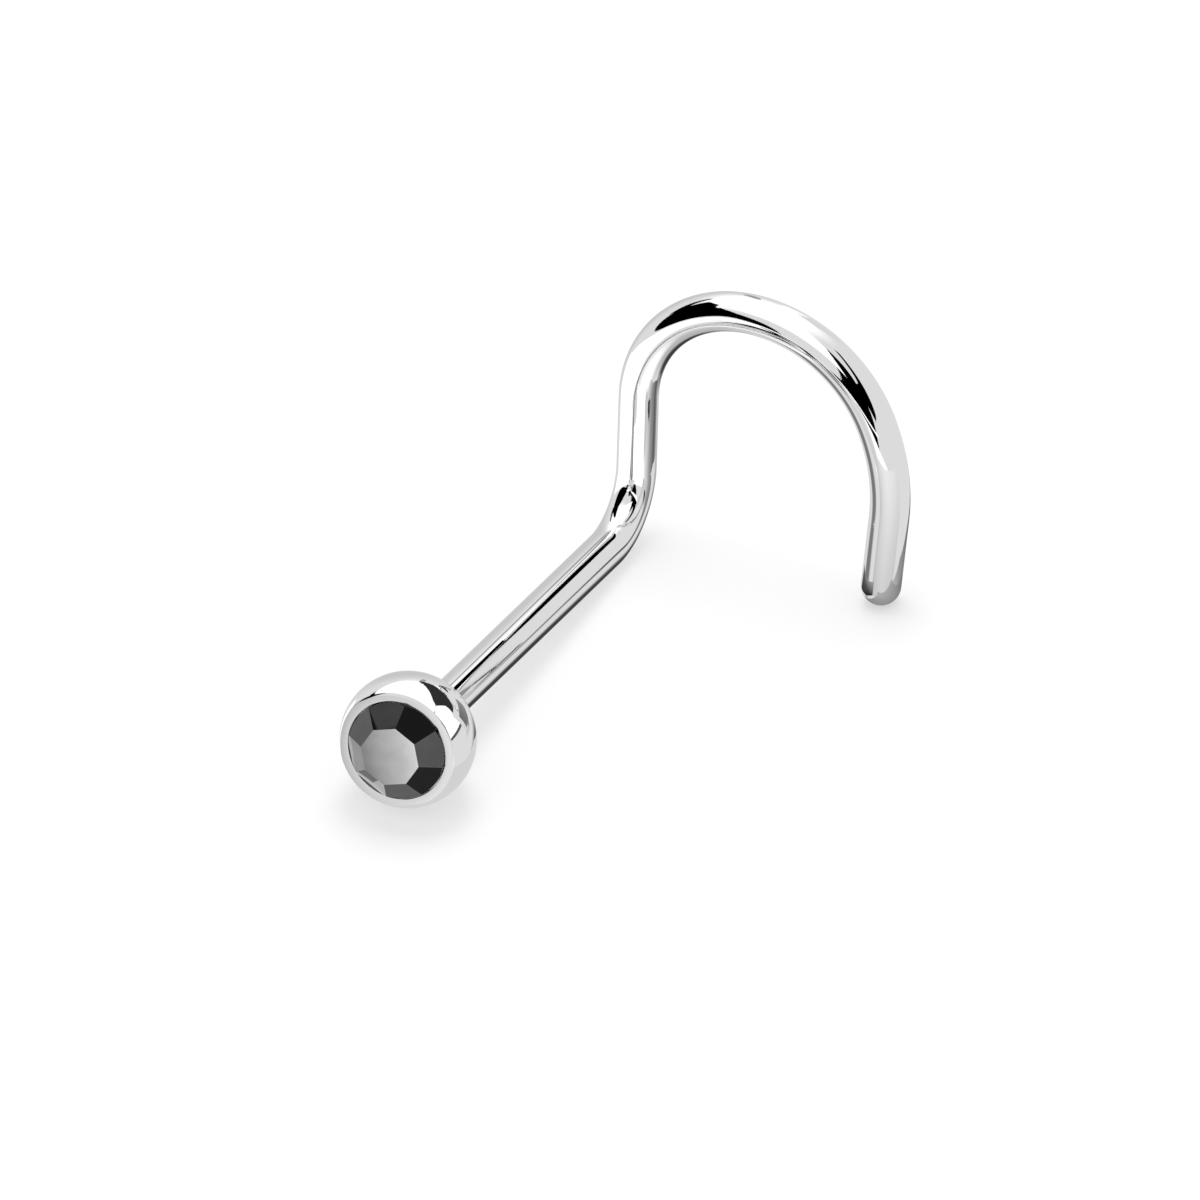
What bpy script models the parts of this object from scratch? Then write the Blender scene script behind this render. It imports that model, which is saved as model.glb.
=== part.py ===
"""Nose stud: a bent steel wire with a small cut stone in a ball-shaped setting.

The stud is drawn in its own frame first. The ball's centre is the origin, the bar runs up +Z to
the bend, and the hook lies square to the bar, leaving the bend along +X. The finished stud is
then laid on its three lowest points, as it rests on a table, with its origin under its middle.
"""

import math
from collections import namedtuple

import bmesh
import bpy
import numpy as np
from mathutils import Matrix, Vector

MM = 0.001

# Wire: sizes along its centreline
WIRE_DIAMETER = 0.8 * MM
BAR_LENGTH = 9.55 * MM          # from the ball's centre to the plane of the hook
BEND_RADIUS = 1.28 * MM
LEAD_LENGTH = 1.62 * MM         # straight run between the bend and the hook
HOOK_RADIUS = 2.8 * MM
TAIL_LENGTH = 1.58 * MM         # straight run before the rounded tip
SOLDER_DEPTH = 0.4 * MM         # how far the bar reaches into the ball

# The hook opens from arc to arc. Radii are shares of HOOK_RADIUS, turns are in degrees.
HookArc = namedtuple("HookArc", "radius_share turn")
HOOK_ARCS = (
    HookArc(radius_share=0.93, turn=82.5),
    HookArc(radius_share=1.02, turn=73.7),
    HookArc(radius_share=1.51, turn=28.1),
)

# Setting: a ball cut flat on its front, with a pocket for the stone
FACE_HEIGHT = 0.595 * MM        # the flat front, from the ball's centre
RIM_WIDTH = 0.19 * MM           # the flat ring of metal round the stone
LIP_THICKNESS = 0.08 * MM       # the rim's edge, which overhangs the girdle
LIP_HOLD = 0.05 * MM            # how far the girdle reaches under the lip
FACE_TILT = math.radians(10.0)          # the front's lean away from square to the bar
FACE_TILT_TOWARDS = math.radians(36.0)  # measured round the bar from the hook's lead

# Stone
STONE_DIAMETER = 2.0 * MM       # what shows inside the rim
TABLE_DIAMETER = 1.24 * MM      # across the octagon's corners
CROWN_ANGLE = math.radians(41.0)
FACET_FOOT = 0.01 * MM          # a facet's lowest point, above the rim
GIRDLE_HEIGHT = 0.15 * MM
PAVILION_DEPTH = 0.8 * MM
STONE_CLEARANCE = 0.02 * MM     # all round the stone in its pocket
STONE_TURN = math.radians(30.0)         # the octagon's turn in its setting

# Placing on the table
BAR_HEADING = math.radians(61.0)        # the bar's direction seen from above, from +X

# Mesh fineness
FACETS_ROUND_STONE = 8
TURN_STEPS = 64
BALL_ARC_STEPS = 18
WIRE_BEVEL_RESOLUTION = 10
BEND_STEP = math.radians(6.0)   # largest turn between two points of the wire
TIP_STEPS = 7
TIP_FLAT = 0.06                 # last ring's share of the wire's radius
WELD_DISTANCE = 0.0001 * MM
SHARP_ANGLE = math.radians(25.0)
SETTLING_STEPS = 20

# Sizes that follow from the ones above
WIRE_RADIUS = WIRE_DIAMETER / 2
STONE_RADIUS = STONE_DIAMETER / 2
MOUTH_RADIUS = STONE_RADIUS + STONE_CLEARANCE
GIRDLE_RADIUS = STONE_RADIUS + LIP_HOLD
RIM_RADIUS = MOUTH_RADIUS + RIM_WIDTH
BALL_RADIUS = math.hypot(RIM_RADIUS, FACE_HEIGHT)
LIP_UNDERSIDE = FACE_HEIGHT - LIP_THICKNESS
GIRDLE_TOP = LIP_UNDERSIDE - STONE_CLEARANCE
GIRDLE_BASE = GIRDLE_TOP - GIRDLE_HEIGHT
HALF_FACET = math.pi / FACETS_ROUND_STONE
TABLE_APOTHEM = TABLE_DIAMETER / 2 * math.cos(HALF_FACET)
TABLE_TOP = (FACE_HEIGHT + FACET_FOOT
             + (STONE_RADIUS - TABLE_APOTHEM) * math.tan(CROWN_ANGLE))

FACE_TURN = (Matrix.Rotation(FACE_TILT_TOWARDS, 4, "Z")
             @ Matrix.Rotation(math.pi - FACE_TILT, 4, "Y"))


def clear_scene():
    """Remove the objects that a new Blender file holds."""
    for obj in list(bpy.data.objects):
        bpy.data.objects.remove(obj, do_unlink=True)


def new_collection(name):
    """Make a collection in the scene."""
    collection = bpy.data.collections.new(name)
    bpy.context.scene.collection.children.link(collection)
    return collection


def new_material(name, colour, metallic, roughness):
    """Make a Principled material of one finish."""
    material = bpy.data.materials.new(name)
    material.use_nodes = True
    shader = material.node_tree.nodes["Principled BSDF"]
    shader.inputs["Base Color"].default_value = (*colour, 1.0)
    shader.inputs["Metallic"].default_value = metallic
    shader.inputs["Roughness"].default_value = roughness
    return material


def to_mesh_object(source, name, collection):
    """Turn a curve or a modified mesh into a plain mesh object with its doubles welded."""
    depsgraph = bpy.context.evaluated_depsgraph_get()
    mesh = bpy.data.meshes.new_from_object(source.evaluated_get(depsgraph))
    mesh.name = name
    welded = bmesh.new()
    welded.from_mesh(mesh)
    bmesh.ops.remove_doubles(welded, verts=welded.verts, dist=WELD_DISTANCE)
    welded.to_mesh(mesh)
    welded.free()
    mesh.shade_smooth()
    mesh.set_sharp_from_angle(angle=SHARP_ANGLE)
    result = bpy.data.objects.new(name, mesh)
    result.matrix_world = source.matrix_world
    collection.objects.link(result)
    bpy.data.objects.remove(source, do_unlink=True)
    return result


def turned(name, profile, steps, collection):
    """Turn a profile of (radius, height) pairs round Z. Its outer side runs downwards."""
    mesh = bpy.data.meshes.new(name + "_profile")
    points = [(radius, 0.0, height) for radius, height in profile]
    edges = [(i, i + 1) for i in range(len(points) - 1)]
    mesh.from_pydata(points, edges, [])
    source = bpy.data.objects.new(name + "_profile", mesh)
    collection.objects.link(source)
    screw = source.modifiers.new("Turn", "SCREW")
    screw.axis = "Z"
    screw.steps = steps
    screw.render_steps = steps
    screw.use_merge_vertices = True
    screw.merge_threshold = WELD_DISTANCE
    return to_mesh_object(source, name, collection)


def arc_angles(turn):
    """Angles after the start of an arc, none more than BEND_STEP from the last."""
    steps = math.ceil(turn / BEND_STEP)
    return [turn * i / steps for i in range(1, steps + 1)]


def wire_centreline():
    """Points of the wire's centreline, from inside the ball to the end of the tail."""
    points = [Vector((0.0, 0.0, BALL_RADIUS - SOLDER_DEPTH))]
    bend_start = BAR_LENGTH - BEND_RADIUS
    points.append(Vector((0.0, 0.0, bend_start)))
    for angle in arc_angles(math.pi / 2):
        across = BEND_RADIUS * (1 - math.cos(angle))
        along = BEND_RADIUS * math.sin(angle)
        points.append(Vector((across, 0.0, bend_start + along)))

    heading = 0.0
    points.append(points[-1] + LEAD_LENGTH * Vector((1.0, 0.0, 0.0)))
    for arc in HOOK_ARCS:
        radius = arc.radius_share * HOOK_RADIUS
        side = Vector((-math.sin(heading), math.cos(heading), 0.0))
        centre = points[-1] + radius * side
        for angle in arc_angles(math.radians(arc.turn)):
            turned_side = Vector((-math.sin(heading + angle), math.cos(heading + angle), 0.0))
            points.append(centre - radius * turned_side)
        heading += math.radians(arc.turn)
    points.append(points[-1] + TAIL_LENGTH * Vector((math.cos(heading), math.sin(heading), 0.0)))
    return points


def rounded_tip(points):
    """Points and radius shares that close the wire with a half ball."""
    forward = (points[-1] - points[-2]).normalized()
    last_angle = math.acos(TIP_FLAT)
    tip = []
    for i in range(1, TIP_STEPS + 1):
        angle = last_angle * i / TIP_STEPS
        tip.append((points[-1] + WIRE_RADIUS * math.sin(angle) * forward, math.cos(angle)))
    return tip


def make_wire(name, collection):
    """The bar, the bend, the hook and the rounded tip as one round wire."""
    centreline = wire_centreline()
    stations = [(point, 1.0) for point in centreline] + rounded_tip(centreline)
    curve = bpy.data.curves.new(name + "_route", "CURVE")
    curve.dimensions = "3D"
    curve.bevel_depth = WIRE_RADIUS
    curve.bevel_resolution = WIRE_BEVEL_RESOLUTION
    curve.use_fill_caps = True
    spline = curve.splines.new("POLY")
    spline.points.add(len(stations) - 1)
    for point, (place, radius_share) in zip(spline.points, stations):
        point.co = (*place, 1.0)
        point.radius = radius_share
    source = bpy.data.objects.new(name + "_route", curve)
    collection.objects.link(source)
    return to_mesh_object(source, name, collection)


def setting_profile():
    """The setting's section: up the pocket, over the rim, and down the ball."""
    pocket_radius = GIRDLE_RADIUS + STONE_CLEARANCE
    pocket_floor = GIRDLE_BASE - STONE_CLEARANCE
    profile = [
        (0.0, pocket_floor - PAVILION_DEPTH),
        (pocket_radius, pocket_floor),
        (pocket_radius, LIP_UNDERSIDE),
        (MOUTH_RADIUS, LIP_UNDERSIDE),
        (MOUTH_RADIUS, FACE_HEIGHT),
    ]
    rim_angle = math.asin(FACE_HEIGHT / BALL_RADIUS)
    sweep = rim_angle + math.pi / 2
    for i in range(BALL_ARC_STEPS):
        angle = rim_angle - sweep * i / BALL_ARC_STEPS
        profile.append((BALL_RADIUS * math.cos(angle), BALL_RADIUS * math.sin(angle)))
    profile.append((0.0, -BALL_RADIUS))
    return profile


def stone_profile():
    """The cut stone's corner line, drawn wider than the girdle that trims it."""
    corner_slope = math.cos(HALF_FACET) * math.tan(CROWN_ANGLE)
    pavilion_slope = PAVILION_DEPTH / GIRDLE_RADIUS
    blank_radius = GIRDLE_RADIUS / math.cos(HALF_FACET) + STONE_CLEARANCE
    return [
        (0.0, TABLE_TOP),
        (TABLE_DIAMETER / 2, TABLE_TOP),
        (blank_radius, TABLE_TOP - (blank_radius - TABLE_DIAMETER / 2) * corner_slope),
        (blank_radius, GIRDLE_BASE + (blank_radius - GIRDLE_RADIUS) * pavilion_slope),
        (0.0, GIRDLE_BASE - PAVILION_DEPTH),
    ]


def girdle_profile():
    """The round outline that the stone is ground to, wider where the lip holds it."""
    above = TABLE_TOP + GIRDLE_HEIGHT
    below = GIRDLE_BASE - PAVILION_DEPTH - GIRDLE_HEIGHT
    return [
        (0.0, above),
        (STONE_RADIUS, above),
        (STONE_RADIUS, GIRDLE_TOP),
        (GIRDLE_RADIUS, GIRDLE_TOP),
        (GIRDLE_RADIUS, below),
        (0.0, below),
    ]


def add_boolean(obj, other, operation):
    """Join or trim an object with another, which then only guides it."""
    boolean = obj.modifiers.new(other.name, "BOOLEAN")
    boolean.operation = operation
    boolean.solver = "EXACT"
    boolean.object = other
    other.hide_render = True
    other.display_type = "WIRE"


def make_stud_body(parts, cutters):
    """The soldered metal: the wire joined to its setting."""
    body = make_wire("stud_body", parts)
    setting = turned("setting_form", setting_profile(), TURN_STEPS, cutters)
    setting.matrix_world = FACE_TURN
    add_boolean(body, setting, "UNION")
    body.data.materials.append(new_material("polished_steel", (0.78, 0.79, 0.80), 1.0, 0.06))
    return body


def make_stone(parts, cutters):
    """The stone: eight facets round a table, ground to a round girdle."""
    stone = turned("stone", stone_profile(), FACETS_ROUND_STONE, parts)
    stone.matrix_world = FACE_TURN @ Matrix.Rotation(STONE_TURN, 4, "Z")
    girdle = turned("girdle_form", girdle_profile(), TURN_STEPS, cutters)
    girdle.matrix_world = FACE_TURN
    add_boolean(stone, girdle, "INTERSECT")
    stone.data.materials.append(new_material("dark_stone", (0.05, 0.05, 0.055), 0.0, 0.08))
    return stone


def evaluated_points(obj):
    """An object's corner points with its modifiers applied, in world space."""
    depsgraph = bpy.context.evaluated_depsgraph_get()
    evaluated = obj.evaluated_get(depsgraph)
    flat = np.empty(len(evaluated.data.vertices) * 3, dtype=np.float32)
    evaluated.data.vertices.foreach_get("co", flat)
    turn = np.array(evaluated.matrix_world)
    return flat.reshape(-1, 3).astype(float) @ turn[:3, :3].T + turn[:3, 3]


def resting_direction(points):
    """The direction that points up when the stud lies on its setting, bend and tail."""
    centreline = wire_centreline()
    anchors = np.array([(0.0, 0.0, 0.0), (0.0, 0.0, BAR_LENGTH), centreline[-1]])
    nearest = np.linalg.norm(points[:, None] - anchors[None], axis=2).argmin(axis=1)
    feet = anchors
    middle = points.mean(axis=0)
    for _ in range(SETTLING_STEPS):
        up = np.cross(feet[1] - feet[0], feet[2] - feet[0])
        up /= np.linalg.norm(up)
        up *= math.copysign(1.0, up @ (middle - feet[0]))
        heights = points @ up
        feet = np.array([points[nearest == i][heights[nearest == i].argmin()] for i in range(3)])
    return Vector(up)


def lay_on_table(objects):
    """Turn the stud as it rests, and put its origin under the middle of its box."""
    points = np.vstack([evaluated_points(obj) for obj in objects])
    settle = resting_direction(points).rotation_difference(Vector((0.0, 0.0, 1.0))).to_matrix()
    bar = settle @ Vector((0.0, 0.0, 1.0))
    heading = Matrix.Rotation(BAR_HEADING - math.atan2(bar.y, bar.x), 3, "Z")
    turn = heading @ settle
    laid = points @ np.array(turn).T
    low = laid.min(axis=0)
    high = laid.max(axis=0)
    origin = Vector(((low[0] + high[0]) / 2, (low[1] + high[1]) / 2, low[2]))

    frame = bpy.data.objects.new("stud_frame", None)
    frame.empty_display_size = BALL_RADIUS
    frame.matrix_world = Matrix.Translation(-origin) @ turn.to_4x4()
    return frame


def build():
    """Make the stud."""
    clear_scene()
    parts = new_collection("nose_stud")
    cutters = new_collection("cutters")
    body = make_stud_body(parts, cutters)
    stone = make_stone(parts, cutters)
    frame = lay_on_table([body, stone])
    parts.objects.link(frame)
    for obj in list(parts.objects) + list(cutters.objects):
        if obj is not frame:
            obj.parent = frame


build()
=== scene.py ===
import math
from collections import namedtuple

import bmesh
import bpy
import numpy as np
from mathutils import Matrix, Vector


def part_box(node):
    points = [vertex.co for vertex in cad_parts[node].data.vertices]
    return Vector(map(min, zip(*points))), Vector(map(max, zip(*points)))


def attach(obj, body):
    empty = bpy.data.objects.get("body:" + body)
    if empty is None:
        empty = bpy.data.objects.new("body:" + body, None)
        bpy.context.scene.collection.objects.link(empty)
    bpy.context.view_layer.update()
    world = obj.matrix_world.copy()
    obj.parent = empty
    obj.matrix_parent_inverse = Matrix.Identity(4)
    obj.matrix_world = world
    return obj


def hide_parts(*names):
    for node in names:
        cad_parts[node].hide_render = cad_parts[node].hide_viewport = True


# The stud is drawn in its own frame, as the CAD is. The ball's centre is the origin, the bar runs
# up +Z to the bend, and the hook lies square to the bar, leaving the bend along +X.

MM = 0.001
UP = Vector((0.0, 0.0, 1.0))

# Wire: sizes along its centreline
WIRE_RADIUS = 0.4 * MM
BAR_LENGTH = 9.55 * MM          # from the ball's centre to the plane of the hook
BEND_RADIUS = 1.28 * MM
LEAD_LENGTH = 1.62 * MM         # straight run between the bend and the hook
HOOK_RADIUS = 2.8 * MM
TAIL_LENGTH = 1.58 * MM         # straight run before the rounded tip
SOLDER_FILLET = 0.07 * MM       # the smooth corner between the bar and the ball

# The hook opens from arc to arc. Radii are shares of HOOK_RADIUS, turns are in degrees.
HookArc = namedtuple("HookArc", "radius_share turn")
HOOK_ARCS = (
    HookArc(radius_share=0.93, turn=82.5),
    HookArc(radius_share=1.02, turn=73.7),
    HookArc(radius_share=1.51, turn=28.1),
)

# Setting: a ball cut flat on its front, with a pocket for the stone
FACE_HEIGHT = 0.595 * MM        # the flat front, from the ball's centre
MOUTH_RADIUS = 1.02 * MM        # inside the rim
RIM_WIDTH = 0.19 * MM
RIM_CROWN = math.radians(9.0)   # the rim's slight roundness, at its edges
RIM_OUTER_ROUND = 0.016 * MM
RIM_INNER_ROUND = 0.016 * MM
LIP_DEPTH = 0.08 * MM
POCKET_RADIUS = 1.07 * MM
POCKET_DEPTH = 0.27 * MM        # down to where the pavilion's cone starts
FACE_TILT = math.radians(10.0)          # the front's lean away from square to the bar
FACE_TILT_TOWARDS = math.radians(36.0)  # measured round the bar from the hook's lead

# Stone
STONE_RADIUS = 1.0 * MM
GIRDLE_RADIUS = 1.05 * MM       # under the lip
TABLE_RADIUS = 0.62 * MM        # to the octagon's corners
CROWN_ANGLE = math.radians(41.0)
FACET_FOOT = 0.01 * MM          # a facet's lowest point, above the flat front
GIRDLE_TOP = 0.1 * MM           # the girdle's shoulder and foot, below the flat front
GIRDLE_FOOT = 0.25 * MM
PAVILION_DEPTH = 0.8 * MM
STONE_TURN = math.radians(30.0)         # the octagon's turn in its setting
STONE_EDGE = 0.008 * MM         # polished width of an edge between facets

# Facets in turn round the stone. Each facet's grey is painted reflection over the stone's own
# dark grey: it stands for the light that facet returns. The cut is how far its foot is ground
# straight, inside the stone's round outline.
Facet = namedtuple("Facet", "tone cut")
FACETS = (
    Facet(tone=0.11, cut=0.0),          # bottom
    Facet(tone=0.02, cut=0.0),          # lower right
    Facet(tone=0.11, cut=0.0),          # right
    Facet(tone=0.01, cut=0.0),          # upper right
    Facet(tone=0.04, cut=0.0),          # top
    Facet(tone=0.08, cut=0.0),          # upper left
    Facet(tone=0.32, cut=0.01 * MM),    # left
    Facet(tone=0.55, cut=0.05 * MM),    # lower left
)
TABLE_PAINTED_REFLECTION = (0.3, 0.86)       # painted reflection, lighter from one side of the table to the other
TABLE_PAINTED_REFLECTION_HEADING = math.radians(120.0)
PAVILION_TONE = 0.08
TABLE_SLOPE = CROWN_ANGLE / 3           # a flatter face belongs to the table
PAVILION_SLOPE = math.radians(60.0)     # a steeper one to the girdle or the pavilion

# Placing on the table
BAR_HEADING = math.radians(61.0)        # the bar's direction seen from above, from +X
SETTLING_STEPS = 20

# Mesh fineness
SIDES = 96
TURN_STEP = math.radians(2.0)
ROUND_STEP = math.radians(9.0)
RIM_STEPS = 6                   # across the rim
TIP_STEPS = 14
BALL_RINGS = 40
ARC_POINTS = 12                 # along one facet's round foot
STONE_EDGE_STEPS = 2
CARD_STEPS = 12                 # from one spot of a card to the next
CARD_STEPS_ACROSS = 8
CLOTH_STEPS = (144, 72)         # round the tent and from its foot to its top
LIGHT_TABLE_SIDES = 64

# Noise: nearly all its values lie between these two
NOISE_RANGE = (0.3, 0.7)

# Steel: marks across the wire, and patches. Each adds to the roughness, within its own range.
STEEL_COLOUR = (0.93, 0.93, 0.935, 1.0)
MARK_STRETCH = (1.0, 14.0, 1.0)
MARK_SCALE = 2.2
MARK_DETAIL = 3.0
MARK_ROUGHNESS = (0.0, 0.012)
MARK_BUMP = 0.05
MARK_HEIGHT = 0.004 * MM
PATCH_SCALE = 900.0
PATCH_DETAIL = 2.0
PATCH_ROUGHNESS = (0.022, 0.034)

# Stone: how it shines, and a faint cloud that its greys are multiplied with
STONE_METALLIC = 0.9
STONE_ROUGHNESS = 0.06
STONE_SPECULAR = 0.3
CLOUD_SCALE = 2600.0
CLOUD_DETAIL = 3.0
CLOUD_TONES = (0.92, 1.08)

# A mix node's colour sockets: its two colours and its result
MIX_FIRST = 6
MIX_SECOND = 7
MIX_RESULT = 2

# Sizes that follow from the ones above
RIM_RADIUS = MOUTH_RADIUS + RIM_WIDTH
BALL_RADIUS = math.hypot(RIM_RADIUS, FACE_HEIGHT)
HALF_FACET = math.pi / len(FACETS)
TABLE_APOTHEM = TABLE_RADIUS * math.cos(HALF_FACET)
TABLE_TOP = FACE_HEIGHT + FACET_FOOT + (STONE_RADIUS - TABLE_APOTHEM) * math.tan(CROWN_ANGLE)
FACE_TURN = (Matrix.Rotation(FACE_TILT_TOWARDS, 4, "Z")
             @ Matrix.Rotation(math.pi - FACE_TILT, 4, "Y"))

# Camera: a long lens, so that every view is nearly free of perspective
LENS = 1000.0
SENSOR = 36.0
PHOTO_WIDTH = 1200.0            # pixels
PHOTO_SCALE = 51.13             # pixels of the photograph for each millimetre
CAMERA_AZIMUTH = math.radians(0.22)
CAMERA_ELEVATION = math.radians(36.70)
CAMERA_ROLL = math.radians(-2.58)
BALL_PIXEL = (408.0, 739.4)     # where the ball's centre shows in the photograph

# The light tent that the steel mirrors. Directions are in degrees: the azimuth from +Y towards
# +X, and the elevation above the table. Brightness 1 is the photograph's white.
TENT_CENTRE = Vector((1.5, 1.0, 3.5)) * MM
TENT_RADIUS = 25.0 * MM
TENT_BRIGHTNESS = 0.76

# Soft patches of the tent's cloth: full strength within one angle, none beyond the other
Shade = namedtuple("Shade", "azimuth elevation inner outer brightness")
SHADES = (
    Shade(0, -90, 10, 40, 0.5),         # below
    Shade(170, -48, 18, 36, 1.1),       # below, in front
    Shade(-75, -44, 12, 22, 0.2),       # below, on the left
    Shade(27, -58, 11, 28, 0.05),       # below, at the back
    Shade(-15, -10, 8, 40, 0.6),        # behind
    Shade(-70, 70, 20, 45, 1.2),        # above, on the left
    Shade(0, 62, 20, 45, 1.2),          # above
)

# Strips of card bent along the cloth, through spots that have a width in degrees. The layer is
# how far inside the cloth a strip hangs, in mm.
Spot = namedtuple("Spot", "azimuth elevation width")
Card = namedtuple("Card", "name brightness layer path")
CARDS = (
    Card("flag_left", 0.0, 1, (
        Spot(-129, -8, 3), Spot(-124, 8, 16), Spot(-104, 16, 34), Spot(-80, 24, 38),
        Spot(-62, 44, 16), Spot(-50, 54, 6))),
    Card("flag_front", 0.0, 1, (
        Spot(156, 60, 5), Spot(162, 42, 20), Spot(178, 16, 28), Spot(-163, -4, 24),
        Spot(-148, -12, 18), Spot(-132, -22, 4))),
    Card("white_low_left", 1.2, 2, (
        Spot(142, -29, 20), Spot(160, -26, 24), Spot(-175, -24, 24), Spot(-120, -17, 26),
        Spot(-80, -18, 30), Spot(-50, -22, 20))),
    Card("loop_left", 0.0, 1, (Spot(-62, 20, 12), Spot(-50, 28, 8), Spot(-34, 37, 4))),
    Card("loop_right", 0.0, 1, (
        Spot(162, 18, 22), Spot(148, 24, 20), Spot(133, 34, 11), Spot(101, 56, 5))),
    Card("bar_line", 0.0, 1, (Spot(36, 16, 8), Spot(36, 28, 16), Spot(36, 38, 8))),
    Card("bar_white", 1.1, 1, (Spot(22, 16, 8), Spot(22, 28, 11), Spot(22, 40, 8))),
    Card("bar_grey", 0.36, 1, (Spot(4, 14, 3), Spot(4, 25, 6), Spot(4, 36, 3))),
)

# Flat cards round the stud, which only its reflections show. A corner is a place in mm and a
# brightness.
Panel = namedtuple("Panel", "name corners")
PANELS = (
    Panel("lobe_1", (
        (-6.2, -2.0, 3.6, 1.2), (-6.2, -4.6, 3.6, 1.2), (-3.0, -4.6, 3.6, 1.2),
        (-3.0, -3.7, 3.6, 1.2), (-3.65, -2.0, 3.6, 1.2))),
    Panel("dark_by_ball", (
        (-3.65, -1.8, 3.55, 0.03), (-3.0, -3.7, 3.55, 0.03), (-2.75, -3.95, 3.55, 0.03),
        (-1.65, -3.2, 3.55, 0.03), (0.6, -2.5, 3.55, 0.03), (0.8, -1.2, 3.55, 0.03),
        (-2.5, -1.0, 3.55, 0.03))),
    Panel("lobe_2", (
        (-2.7, -3.7, 3.6, 1.2), (-2.7, -4.8, 3.6, 1.2), (5.0, -6.0, 3.6, 1.2),
        (5.0, -2.6, 3.6, 1.2), (-1.65, -2.9, 3.6, 1.2))),
    Panel("hook_white", (
        (-4.8, 8.0, 12.0, 1.2), (-5.0, -2.0, 12.0, 1.2), (3.0, -14.0, 12.0, 1.2),
        (5.0, -2.0, 12.0, 1.2), (2.0, 9.0, 12.0, 1.2))),
    Panel("before_tail_left", (
        (3.0, 0.3, -0.7, 0.5), (5.0, 0.3, -0.7, 0.65), (5.0, 0.3, 3.0, 0.9),
        (3.0, 0.3, 3.0, 0.6))),
    Panel("before_tail_right", (
        (5.0, 0.3, -0.7, 0.65), (7.0, 0.3, -0.7, 0.6), (7.0, 0.3, 3.0, 0.76),
        (5.0, 0.3, 3.0, 0.9))),
    Panel("dark_by_tip", (
        (4.35, 0.95, 0.02, 0.0), (4.35, 2.1, 0.02, 0.0), (4.35, 2.1, 0.65, 0.15),
        (4.35, 0.95, 0.38, 0.4))),
    Panel("under_tip", (
        (4.6, 0.5, 0.0, 0.45), (6.0, 0.7, 0.0, 0.4), (6.0, 2.4, 0.0, 0.15),
        (4.6, 2.2, 0.0, 0.15))),
    Panel("grey_by_ball", (
        (-1.6, -3.4, 1.5, 0.15), (-1.6, -1.5, 1.5, 0.3), (-1.6, -1.5, 2.3, 0.3),
        (-1.6, -3.4, 2.3, 0.15))),
    Panel("dark_at_root", (
        (-2.65, -1.25, 2.9, 0.0), (-1.95, -1.6, 2.75, 0.0), (-0.75, 1.15, 2.7, 0.0),
        (-1.2, 1.35, 2.8, 0.0))),
    Panel("lobe_3", (
        (-2.2, -5.1, 2.12, 1.2), (-2.2, -4.0, 2.12, 1.2), (-2.2, -4.0, 2.8, 1.2),
        (-2.2, -5.1, 2.8, 1.2))),
    Panel("lobe_3_edge", (
        (-2.2, -5.1, 1.98, 0.1), (-2.2, -4.0, 1.98, 0.1), (-2.2, -4.0, 2.12, 0.1),
        (-2.2, -5.1, 2.12, 0.1))),
    Panel("before_face", (
        (-8.2, -5.6, -1.4, 0.5), (-5.8, -7.6, -1.4, 0.8), (-5.8, -7.6, 2.4, 0.8),
        (-8.2, -5.6, 2.4, 0.5))),
    Panel("before_face_right", (
        (-5.8, -7.6, -1.4, 0.8), (-2.6, -8.6, -1.4, 0.7), (-2.6, -8.6, 2.4, 0.7),
        (-5.8, -7.6, 2.4, 0.8))),
    Panel("under_stone", (
        (-7.7, -4.3, 0.0, 0.75), (-6.2, -4.3, 0.0, 0.75), (-6.2, -2.6, 0.0, 0.75),
        (-7.7, -2.6, 0.0, 0.75))),
    Panel("under_ball", (
        (-5.6, -6.5, -0.2, 0.68), (-1.2, -6.5, -0.2, 0.68), (-1.2, -2.2, -0.2, 0.68),
        (-2.4, -1.6, -0.2, 0.68), (-5.6, -1.6, -0.2, 0.68))),
    Panel("leg_shade_1", (
        (3.1, 1.2, -1.01, 0.75), (5.6, -1.8, -1.01, 0.75), (8.0, 1.6, -1.01, 0.32),
        (4.3, 2.9, -1.01, 0.32))),
    Panel("leg_shade_2", (
        (4.3, 2.9, -1.01, 0.32), (8.0, 1.6, -1.01, 0.32), (8.3, 5.7, -1.01, 0.1),
        (4.4, 5.0, -1.01, 0.1))),
    Panel("leg_shade_3", (
        (4.4, 5.0, -1.01, 0.1), (8.3, 5.7, -1.01, 0.1), (7.0, 8.9, -1.01, 0.4),
        (3.8, 6.6, -1.01, 0.4))),
    Panel("grey_behind_hook", (
        (7.64, 6.06, 6.75, 0.72), (6.35, 7.25, 6.29, 0.72), (5.07, 6.78, 8.64, 0.72),
        (6.36, 5.58, 9.1, 0.72))),
)

# The light table under the stud glows and also takes light from the studio, so that only a
# faint, close shadow shows on it.
LIGHT_TABLE_GLOW = 0.47
LIGHT_TABLE_COLOUR = (0.43, 0.43, 0.43, 1.0)
LIGHT_TABLE_ROUGHNESS = 0.9
LIGHT_TABLE_RADIUS = 2.0        # metres

# The large lamp above and a little behind the stud, which throws the shadow
LAMP_HEADING = (0.0, 73.0)      # azimuth and elevation in degrees
LAMP_DISTANCE = 60.0 * MM
LAMP_SIZE = 34.0 * MM
LAMP_POWER = 0.016              # watts

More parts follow.
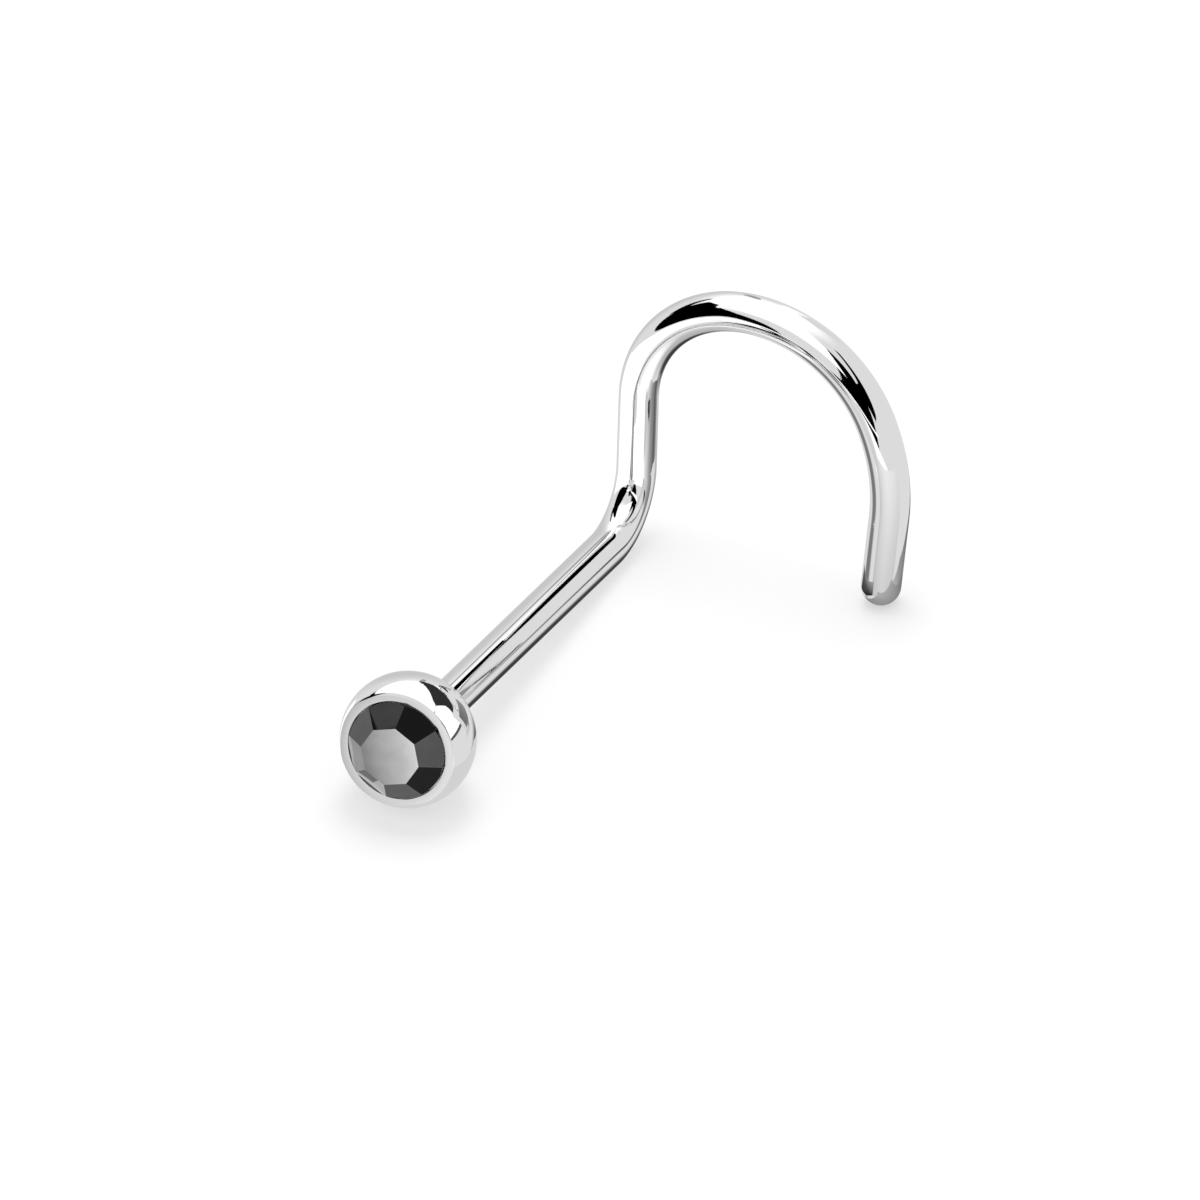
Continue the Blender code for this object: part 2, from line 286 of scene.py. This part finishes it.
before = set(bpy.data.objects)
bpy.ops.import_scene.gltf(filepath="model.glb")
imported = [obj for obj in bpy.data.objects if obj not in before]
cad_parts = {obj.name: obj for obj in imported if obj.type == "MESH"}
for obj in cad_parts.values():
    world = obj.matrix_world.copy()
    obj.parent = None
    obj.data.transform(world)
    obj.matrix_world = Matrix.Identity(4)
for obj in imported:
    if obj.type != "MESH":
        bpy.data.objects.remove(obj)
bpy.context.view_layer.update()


def ring(pose, radius):
    """The points of a circle round a pose's own Z axis."""
    angles = [2 * math.pi * k / SIDES for k in range(SIDES)]
    return [pose @ Vector((radius * math.cos(a), radius * math.sin(a), 0.0)) for a in angles]


def arc_poses(pose, radius, turn, side):
    """Poses along an arc that starts at a pose and turns its Z axis towards a side."""
    axis = UP.cross(side)
    to_centre = Matrix.Translation(radius * side)
    steps = math.ceil(turn / TURN_STEP)
    return [pose @ to_centre @ Matrix.Rotation(turn * i / steps, 4, axis) @ to_centre.inverted()
            for i in range(1, steps + 1)]


def wire_poses():
    """Poses along the wire's centreline, from the bar's end at the bend to the end of the tail."""
    poses = [Matrix.Translation((0.0, 0.0, BAR_LENGTH - BEND_RADIUS))]
    poses += arc_poses(poses[-1], BEND_RADIUS, math.pi / 2, Vector((1.0, 0.0, 0.0)))
    poses.append(poses[-1] @ Matrix.Translation((0.0, 0.0, LEAD_LENGTH)))
    for arc in HOOK_ARCS:
        radius = arc.radius_share * HOOK_RADIUS
        poses += arc_poses(poses[-1], radius, math.radians(arc.turn), Vector((0.0, 1.0, 0.0)))
    poses.append(poses[-1] @ Matrix.Translation((0.0, 0.0, TAIL_LENGTH)))
    return poses


def wire_rings():
    """Rings from the bar's end to the half ball at the tip."""
    poses = wire_poses()
    rings = [ring(pose, WIRE_RADIUS) for pose in poses]
    for i in range(1, TIP_STEPS):
        angle = math.pi / 2 * i / TIP_STEPS
        forward = Matrix.Translation((0.0, 0.0, WIRE_RADIUS * math.sin(angle)))
        rings.append(ring(poses[-1] @ forward, WIRE_RADIUS * math.cos(angle)))
    return rings, poses[-1] @ Vector((0.0, 0.0, WIRE_RADIUS))


def solder_rings():
    """Rings of the fillet, from where it touches the ball to where it meets the bar."""
    reach = BALL_RADIUS + SOLDER_FILLET
    centre_radius = WIRE_RADIUS + SOLDER_FILLET
    centre_height = math.sqrt(reach ** 2 - centre_radius ** 2)
    start = math.asin(centre_height / reach)
    steps = math.ceil(start / ROUND_STEP)
    rings = []
    for i in range(steps + 1):
        angle = start * (1 - i / steps)
        radius = centre_radius - SOLDER_FILLET * math.cos(angle)
        height = centre_height - SOLDER_FILLET * math.sin(angle)
        rings.append(ring(Matrix.Translation((0.0, 0.0, height)), radius))
    return rings


def ball_point(side, angle):
    """A point of the ball at an angle from the bar's axis."""
    return BALL_RADIUS * Vector((math.sin(angle) * math.cos(side),
                                 math.sin(angle) * math.sin(side), math.cos(angle)))


def face_profile():
    """The front's section from the rim's outer edge to the pocket, as (radius, height) pairs."""
    profile = []

    # The edge's round. It starts on the ball, a little before the ball's own edge.
    edge_angle = (math.acos(FACE_HEIGHT / BALL_RADIUS)
                  - math.asin(RIM_OUTER_ROUND / BALL_RADIUS) / 2)
    centre = ((BALL_RADIUS - RIM_OUTER_ROUND) * math.sin(edge_angle),
              (BALL_RADIUS - RIM_OUTER_ROUND) * math.cos(edge_angle))
    steps = math.ceil((edge_angle - RIM_CROWN) / ROUND_STEP)
    for i in range(steps + 1):
        angle = edge_angle + (RIM_CROWN - edge_angle) * i / steps
        profile.append((centre[0] + RIM_OUTER_ROUND * math.sin(angle),
                        centre[1] + RIM_OUTER_ROUND * math.cos(angle)))

    # The crown of the rim
    start_radius, start_height = profile[-1]
    inner_start = MOUTH_RADIUS + RIM_INNER_ROUND * (1 - math.sin(RIM_CROWN))
    crown_radius = (start_radius - inner_start) / (2 * math.sin(RIM_CROWN))
    for i in range(1, RIM_STEPS + 1):
        angle = RIM_CROWN - 2 * RIM_CROWN * i / RIM_STEPS
        profile.append((start_radius - crown_radius * (math.sin(RIM_CROWN) - math.sin(angle)),
                        start_height + crown_radius * (math.cos(angle) - math.cos(RIM_CROWN))))

    # The round at the mouth, then the pocket
    centre = (MOUTH_RADIUS + RIM_INNER_ROUND,
              profile[-1][1] - RIM_INNER_ROUND * math.cos(RIM_CROWN))
    steps = math.ceil((math.pi / 2 - RIM_CROWN) / ROUND_STEP)
    for i in range(1, steps + 1):
        angle = -RIM_CROWN - (math.pi / 2 - RIM_CROWN) * i / steps
        profile.append((centre[0] + RIM_INNER_ROUND * math.sin(angle),
                        centre[1] + RIM_INNER_ROUND * math.cos(angle)))
    profile.append((MOUTH_RADIUS, FACE_HEIGHT - LIP_DEPTH))
    profile.append((POCKET_RADIUS, FACE_HEIGHT - LIP_DEPTH))
    profile.append((POCKET_RADIUS, FACE_HEIGHT - POCKET_DEPTH))
    return profile, edge_angle


def head_rings():
    """Rings from the pocket's foot over the rim and down the ball to the solder."""
    profile, edge_angle = face_profile()
    to_face = FACE_TURN.inverted()
    sides = [2 * math.pi * k / SIDES for k in range(SIDES)]
    axis = FACE_TURN @ UP

    # On each side of the bar, the angle where the ball meets the front
    angles = []
    for side in sides:
        across = axis.x * math.cos(side) + axis.y * math.sin(side)
        reach = math.hypot(across, axis.z)
        angle = math.atan2(across, axis.z) - math.acos(math.cos(edge_angle) / reach)
        angles.append(angle % (2 * math.pi))
    turns = []
    for side, angle in zip(sides, angles):
        local = to_face @ ball_point(side, angle)
        turns.append(math.atan2(local.y, local.x))

    rings = []
    for radius, height in reversed(profile):
        rings.append([FACE_TURN @ Vector((radius * math.cos(t), radius * math.sin(t), height))
                      for t in turns])

    solder_start = math.asin((WIRE_RADIUS + SOLDER_FILLET) / (BALL_RADIUS + SOLDER_FILLET))
    for i in range(1, BALL_RINGS):
        share = i / BALL_RINGS
        rings.append([ball_point(side, angle + (solder_start - angle) * share)
                      for side, angle in zip(sides, angles)])
    foot = FACE_HEIGHT - POCKET_DEPTH - PAVILION_DEPTH
    return rings, FACE_TURN @ Vector((0.0, 0.0, foot))


def body_mesh():
    """The whole metal body as one closed grid of rings."""
    head, pocket_foot = head_rings()
    wire, tip = wire_rings()
    rings = head + solder_rings() + wire
    shape = bmesh.new()
    uv = shape.loops.layers.uv.new("along_wire")
    grid = [[shape.verts.new(point) for point in points] for points in rings]

    # Millimetres round the wire and along it, so that the polish marks keep one size
    along = [0.0]
    for before, after in zip(rings, rings[1:]):
        along.append(along[-1] + (Vector(after[0]) - Vector(before[0])).length / MM)
    round_wire = 2 * math.pi * WIRE_RADIUS / MM

    def add_face(corners, places):
        face = shape.faces.new(corners)
        face.smooth = True
        for loop, place in zip(face.loops, places):
            loop[uv].uv = place

    for i in range(len(grid) - 1):
        low = along[i]
        high = along[i + 1]
        for k in range(SIDES):
            j = (k + 1) % SIDES
            left = round_wire * k / SIDES
            right = round_wire * (k + 1) / SIDES
            add_face((grid[i][k], grid[i][j], grid[i + 1][j], grid[i + 1][k]),
                     ((left, low), (right, low), (right, high), (left, high)))
    start = shape.verts.new(pocket_foot)
    end = shape.verts.new(tip)
    for k in range(SIDES):
        j = (k + 1) % SIDES
        left = round_wire * k / SIDES
        right = round_wire * (k + 1) / SIDES
        add_face((start, grid[0][j], grid[0][k]), ((left, 0.0), (right, 0.0), (left, 0.0)))
        add_face((end, grid[-1][k], grid[-1][j]),
                 ((left, along[-1]), (left, along[-1]), (right, along[-1])))
    bmesh.ops.recalc_face_normals(shape, faces=shape.faces)
    mesh = bpy.data.meshes.new("steel_body")
    shape.to_mesh(mesh)
    shape.free()
    return mesh


def stone_mesh():
    """The cut stone: table, eight crown facets with round feet, girdle and pavilion."""
    shape = bmesh.new()
    shoulder_height = FACE_HEIGHT - GIRDLE_TOP
    corners = [2 * HALF_FACET * k for k in range(len(FACETS))]
    table = [shape.verts.new((TABLE_RADIUS * math.cos(a), TABLE_RADIUS * math.sin(a), TABLE_TOP))
             for a in corners]
    feet = []
    shoulders = []
    girdle = []
    base = []
    for facet, corner in zip(FACETS, corners):
        for i in range(ARC_POINTS):
            turn = 2 * HALF_FACET * i / ARC_POINTS
            across = math.cos(turn - HALF_FACET)
            radius = min(STONE_RADIUS, (STONE_RADIUS - facet.cut) / across)
            height = TABLE_TOP - (radius * across - TABLE_APOTHEM) * math.tan(CROWN_ANGLE)
            side = Vector((math.cos(corner + turn), math.sin(corner + turn), 0.0))
            feet.append(shape.verts.new(radius * side + height * UP))
            shoulders.append(shape.verts.new(radius * side + shoulder_height * UP))
            girdle.append(shape.verts.new(GIRDLE_RADIUS * side + shoulder_height * UP))
            base.append(shape.verts.new(GIRDLE_RADIUS * side + (FACE_HEIGHT - GIRDLE_FOOT) * UP))
    culet = shape.verts.new((0.0, 0.0, FACE_HEIGHT - GIRDLE_FOOT - PAVILION_DEPTH))
    shape.faces.new(table)
    count = len(feet)
    for k in range(len(FACETS)):
        arc = [feet[(k * ARC_POINTS + i) % count] for i in range(ARC_POINTS + 1)]
        shape.faces.new([table[(k + 1) % len(FACETS)], table[k]] + arc)
    for upper, lower in ((feet, shoulders), (shoulders, girdle), (girdle, base)):
        for i in range(count):
            j = (i + 1) % count
            shape.faces.new((upper[j], upper[i], lower[i], lower[j]))
    for i in range(count):
        shape.faces.new((base[(i + 1) % count], base[i], culet))
    bmesh.ops.recalc_face_normals(shape, faces=shape.faces)
    crown = [edge for edge in shape.edges if any(vert in table for vert in edge.verts)]
    bmesh.ops.bevel(shape, geom=crown, offset=STONE_EDGE, offset_type="WIDTH",
                    segments=STONE_EDGE_STEPS, profile=0.5, affect="EDGES", clamp_overlap=True)
    paint_stone_greys_and_reflections(shape)
    mesh = bpy.data.meshes.new("dark_stone")
    shape.to_mesh(mesh)
    shape.free()
    return mesh


def paint_stone_greys_and_reflections(shape):
    """Give each facet its grey, painted reflection over the stone's own dark grey, and the table a
    painted reflection that grows lighter across it.
    """
    shape.faces.ensure_lookup_table()
    shape.normal_update()
    grey_and_painted_light_layer = shape.loops.layers.float_color.new("tone")
    across = Vector((math.cos(TABLE_PAINTED_REFLECTION_HEADING), math.sin(TABLE_PAINTED_REFLECTION_HEADING), 0.0))
    first, last = TABLE_PAINTED_REFLECTION
    for face in shape.faces:
        slope = face.normal.angle(UP)
        turn = math.atan2(face.normal.y, face.normal.x) % (2 * math.pi)
        for loop in face.loops:
            # The table's painted reflection grows lighter along one heading; a facet's grey is
            # painted reflection too.
            if slope < TABLE_SLOPE:
                share = 0.5 + 0.5 * (loop.vert.co @ across) / TABLE_RADIUS
                tone = first + (last - first) * share
            elif slope < PAVILION_SLOPE:
                tone = FACETS[int(turn / (2 * HALF_FACET))].tone
            else:
                tone = PAVILION_TONE
            loop[grey_and_painted_light_layer] = (tone, tone, tone, 1.0)


def resting_direction(points):
    """The direction that points up when the stud lies on its setting, bend and tail."""
    tail_end = wire_poses()[-1].translation
    anchors = np.array([(0.0, 0.0, 0.0), (0.0, 0.0, BAR_LENGTH), tail_end])
    nearest = np.linalg.norm(points[:, None] - anchors[None], axis=2).argmin(axis=1)
    feet = anchors
    middle = points.mean(axis=0)
    for _ in range(SETTLING_STEPS):
        up = np.cross(feet[1] - feet[0], feet[2] - feet[0])
        up /= np.linalg.norm(up)
        up *= math.copysign(1.0, up @ (middle - feet[0]))
        heights = points @ up
        feet = np.array([points[nearest == i][heights[nearest == i].argmin()] for i in range(3)])
    return Vector(up)


def laid_on_table(mesh):
    """The matrix that lays the stud as it rests, in the middle and on the foot of the CAD's box."""
    flat = np.empty(len(mesh.vertices) * 3, dtype=np.float32)
    mesh.vertices.foreach_get("co", flat)
    points = flat.reshape(-1, 3).astype(float)
    settle = resting_direction(points).rotation_difference(UP).to_matrix()
    bar = settle @ UP
    heading = Matrix.Rotation(BAR_HEADING - math.atan2(bar.y, bar.x), 3, "Z")
    turn = heading @ settle
    laid = points @ np.array(turn).T
    low = laid.min(axis=0)
    high = laid.max(axis=0)
    cad_low, cad_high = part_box("stud_body")
    shift = Vector(((cad_low[0] + cad_high[0] - low[0] - high[0]) / 2,
                    (cad_low[1] + cad_high[1] - low[1] - high[1]) / 2, cad_low[2] - low[2]))
    return Matrix.Translation(shift) @ turn.to_4x4()


def add_object(name, mesh, place):
    """Put a mesh in the scene, with its place in its points as the CAD nodes have it."""
    mesh.transform(place)
    obj = bpy.data.objects.new(name, mesh)
    bpy.context.scene.collection.objects.link(obj)
    return obj


def new_material(name):
    """An empty node material with its Principled shader."""
    material = bpy.data.materials.new(name)
    material.use_nodes = True
    return material, material.node_tree, material.node_tree.nodes["Principled BSDF"]


def noise(tree, vector, scale, detail):
    """A noise texture's value."""
    node = tree.nodes.new("ShaderNodeTexNoise")
    node.inputs["Scale"].default_value = scale
    node.inputs["Detail"].default_value = detail
    tree.links.new(vector, node.inputs["Vector"])
    return node.outputs["Fac"]


def remap(tree, value, span):
    """A noise texture's value spread from one end of a span to the other."""
    node = tree.nodes.new("ShaderNodeMapRange")
    node.inputs["From Min"].default_value, node.inputs["From Max"].default_value = NOISE_RANGE
    node.inputs["To Min"].default_value, node.inputs["To Max"].default_value = span
    tree.links.new(value, node.inputs["Value"])
    return node.outputs["Result"]


def steel_material():
    """Mirror-polished steel with the faintest marks of the polishing wheel across the wire."""
    material, tree, shader = new_material("polished_steel")
    shader.inputs["Base Color"].default_value = STEEL_COLOUR
    shader.inputs["Metallic"].default_value = 1.0

    uv = tree.nodes.new("ShaderNodeUVMap")
    uv.uv_map = "along_wire"
    stretch = tree.nodes.new("ShaderNodeMapping")
    stretch.inputs["Scale"].default_value = MARK_STRETCH
    tree.links.new(uv.outputs["UV"], stretch.inputs["Vector"])
    marks = noise(tree, stretch.outputs["Vector"], MARK_SCALE, MARK_DETAIL)

    place = tree.nodes.new("ShaderNodeTexCoord")
    patches = noise(tree, place.outputs["Object"], PATCH_SCALE, PATCH_DETAIL)
    add = tree.nodes.new("ShaderNodeMath")
    add.operation = "ADD"
    tree.links.new(remap(tree, marks, MARK_ROUGHNESS), add.inputs[0])
    tree.links.new(remap(tree, patches, PATCH_ROUGHNESS), add.inputs[1])
    tree.links.new(add.outputs["Value"], shader.inputs["Roughness"])

    bump = tree.nodes.new("ShaderNodeBump")
    bump.inputs["Strength"].default_value = MARK_BUMP
    bump.inputs["Distance"].default_value = MARK_HEIGHT
    tree.links.new(marks, bump.inputs["Height"])
    tree.links.new(bump.outputs["Normal"], shader.inputs["Normal"])
    return material


def stone_material():
    """Dark stone with a metallic shine; each facet's grey is painted reflection over the stone's
    own dark grey.
    """
    material, tree, shader = new_material("dark_stone")
    tone = tree.nodes.new("ShaderNodeVertexColor")
    tone.layer_name = "tone"
    place = tree.nodes.new("ShaderNodeTexCoord")
    cloud = noise(tree, place.outputs["Object"], CLOUD_SCALE, CLOUD_DETAIL)
    mix = tree.nodes.new("ShaderNodeMix")
    mix.data_type = "RGBA"
    mix.blend_type = "MULTIPLY"
    mix.inputs["Factor"].default_value = 1.0
    tree.links.new(tone.outputs["Color"], mix.inputs[MIX_FIRST])
    tree.links.new(remap(tree, cloud, CLOUD_TONES), mix.inputs[MIX_SECOND])
    tree.links.new(mix.outputs[MIX_RESULT], shader.inputs["Base Color"])
    shader.inputs["Metallic"].default_value = STONE_METALLIC
    shader.inputs["Roughness"].default_value = STONE_ROUGHNESS
    shader.inputs["Specular IOR Level"].default_value = STONE_SPECULAR
    return material


def tent_material():
    """Cloth and card that glow with the brightness stored at their points."""
    material = bpy.data.materials.new("light_tent")
    material.use_nodes = True
    material.cycles.emission_sampling = "NONE"
    tree = material.node_tree
    tree.nodes.clear()
    stored = tree.nodes.new("ShaderNodeAttribute")
    stored.attribute_name = "glow"
    glow = tree.nodes.new("ShaderNodeEmission")
    tree.links.new(stored.outputs["Fac"], glow.inputs["Strength"])
    output = tree.nodes.new("ShaderNodeOutputMaterial")
    tree.links.new(glow.outputs["Emission"], output.inputs["Surface"])
    return material


def direction(azimuth, elevation):
    """A unit vector from an azimuth, measured from +Y towards +X, and an elevation, in degrees."""
    a = math.radians(azimuth)
    e = math.radians(elevation)
    return Vector((math.sin(a) * math.cos(e), math.cos(a) * math.cos(e), math.sin(e)))


def smooth_path(spots):
    """Directions and widths along a Catmull-Rom curve through a card's spots."""
    rows = [np.array((*direction(s.azimuth, s.elevation), s.width)) for s in spots]
    rows = [2 * rows[0] - rows[1]] + rows + [2 * rows[-1] - rows[-2]]
    path = []
    for a, b, c, d in zip(rows, rows[1:], rows[2:], rows[3:]):
        for i in range(CARD_STEPS):
            t = i / CARD_STEPS
            path.append(0.5 * (2 * b + (c - a) * t + (2 * a - 5 * b + 4 * c - d) * t * t
                               + (3 * b - a - 3 * c + d) * t ** 3))
    path.append(rows[-2])
    return path


def add_card(card, material):
    """A strip of card bent onto the tent."""
    path = smooth_path(card.path)
    radius = TENT_RADIUS - card.layer * MM
    shape = bmesh.new()
    glow = shape.verts.layers.float.new("glow")
    lines = []
    for i, row in enumerate(path):
        middle = Vector(row[:3]).normalized()
        before = Vector(path[max(i - 1, 0)][:3])
        after = Vector(path[min(i + 1, len(path) - 1)][:3])
        side = middle.cross((after - before).normalized()).normalized()
        half = math.radians(row[3] / 2)
        line = []
        for k in range(CARD_STEPS_ACROSS + 1):
            angle = half * (2 * k / CARD_STEPS_ACROSS - 1)
            place = math.cos(angle) * middle + math.sin(angle) * side
            line.append(shape.verts.new(TENT_CENTRE + radius * place))
            line[-1][glow] = card.brightness
        lines.append(line)
    for first, second in zip(lines, lines[1:]):
        for k in range(CARD_STEPS_ACROSS):
            shape.faces.new((first[k], first[k + 1], second[k + 1], second[k]))
    add_reflected(card.name, shape, material)


def add_panel(panel, material):
    """A flat card near the stud."""
    shape = bmesh.new()
    glow = shape.verts.layers.float.new("glow")
    corners = []
    for x, y, z, brightness in panel.corners:
        corners.append(shape.verts.new((x * MM, y * MM, z * MM)))
        corners[-1][glow] = brightness
    shape.faces.new(corners)
    add_reflected(panel.name, shape, material)


def add_cloth(material):
    """The tent's round cloth, with its soft patches of light and dark."""
    shape = bmesh.new()
    round_steps, height_steps = CLOTH_STEPS
    bmesh.ops.create_uvsphere(shape, u_segments=round_steps, v_segments=height_steps, radius=1.0)
    glow = shape.verts.layers.float.new("glow")
    for vert in shape.verts:
        brightness = TENT_BRIGHTNESS
        for shade in SHADES:
            angle = math.degrees(vert.co.angle(direction(shade.azimuth, shade.elevation)))
            weight = min(max((shade.outer - angle) / (shade.outer - shade.inner), 0.0), 1.0)
            eased = weight * weight * (3 - 2 * weight)
            brightness += (shade.brightness - brightness) * eased
        vert[glow] = brightness
        vert.co = TENT_CENTRE + TENT_RADIUS * vert.co
    add_reflected("tent_cloth", shape, material)


def add_reflected(name, shape, material):
    """Put a shape in the scene that shows only in reflections."""
    mesh = bpy.data.meshes.new(name)
    shape.to_mesh(mesh)
    shape.free()
    mesh.materials.append(material)
    obj = add_object(name, mesh, Matrix())
    obj.visible_camera = False
    obj.visible_diffuse = False
    obj.visible_transmission = False
    obj.visible_volume_scatter = False
    obj.visible_shadow = False


def add_tent():
    """The bright tent round the stud, with its cards."""
    material = tent_material()
    add_cloth(material)
    for card in CARDS:
        add_card(card, material)
    for panel in PANELS:
        add_panel(panel, material)


def add_floor():
    """A white light table, pure white where nothing shades it."""
    shape = bmesh.new()
    bmesh.ops.create_circle(shape, cap_ends=True, segments=LIGHT_TABLE_SIDES,
                            radius=LIGHT_TABLE_RADIUS)
    mesh = bpy.data.meshes.new("light_table")
    shape.to_mesh(mesh)
    shape.free()
    material, tree, shader = new_material("light_table")
    shader.inputs["Base Color"].default_value = LIGHT_TABLE_COLOUR
    shader.inputs["Roughness"].default_value = LIGHT_TABLE_ROUGHNESS
    shader.inputs["Specular IOR Level"].default_value = 0.0
    shader.inputs["Emission Color"].default_value = (1.0, 1.0, 1.0, 1.0)
    shader.inputs["Emission Strength"].default_value = LIGHT_TABLE_GLOW
    material.cycles.emission_sampling = "NONE"
    mesh.materials.append(material)
    floor = add_object("light_table", mesh, Matrix())
    floor.visible_glossy = False


def add_lamp():
    """A large soft lamp that the steel doesn't mirror."""
    data = bpy.data.lights.new("soft_lamp", "AREA")
    data.shape = "DISK"
    data.size = LAMP_SIZE
    data.energy = LAMP_POWER
    lamp = bpy.data.objects.new("soft_lamp", data)
    bpy.context.scene.collection.objects.link(lamp)
    towards = direction(*LAMP_HEADING)
    lamp.matrix_world = (Matrix.Translation(TENT_CENTRE + LAMP_DISTANCE * towards)
                         @ towards.to_track_quat("Z", "Y").to_matrix().to_4x4())
    lamp.visible_camera = False
    lamp.visible_glossy = False


def set_world():
    """White light from all round."""
    world = bpy.data.worlds.new("studio")
    world.use_nodes = True
    world.node_tree.nodes["Background"].inputs["Color"].default_value = (1.0, 1.0, 1.0, 1.0)
    world.node_tree.nodes["Background"].inputs["Strength"].default_value = 1.0
    bpy.context.scene.world = world
    bpy.context.scene.view_settings.view_transform = "Standard"


def add_camera(place):
    """The photograph's view."""
    data = bpy.data.cameras.new("camera")
    data.lens = LENS
    data.sensor_width = SENSOR
    camera = bpy.data.objects.new("camera", data)
    bpy.context.scene.collection.objects.link(camera)
    turn = (Matrix.Rotation(CAMERA_AZIMUTH, 4, "Z")
            @ Matrix.Rotation(math.pi / 2 - CAMERA_ELEVATION, 4, "X")
            @ Matrix.Rotation(CAMERA_ROLL, 4, "Z"))
    distance = LENS / SENSOR * PHOTO_WIDTH / PHOTO_SCALE * MM
    right = (PHOTO_WIDTH / 2 - BALL_PIXEL[0]) / PHOTO_SCALE * MM
    up = (BALL_PIXEL[1] - PHOTO_WIDTH / 2) / PHOTO_SCALE * MM
    camera.matrix_world = (Matrix.Translation(place.translation) @ turn
                           @ Matrix.Translation((right, up, distance)))
    bpy.context.scene.camera = camera


def build():
    """Dress the stud and light it."""
    steel = body_mesh()
    steel.materials.append(steel_material())
    place = laid_on_table(steel)
    body = add_object("steel_body", steel, place)
    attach(body, "root")
    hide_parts("stud_body")

    cut = stone_mesh()
    cut.materials.append(stone_material())
    stone = add_object("cut_stone", cut, place @ FACE_TURN @ Matrix.Rotation(STONE_TURN, 4, "Z"))
    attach(stone, "root")
    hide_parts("stone")

    set_world()
    add_lamp()
    add_floor()
    add_tent()
    add_camera(place)


build()
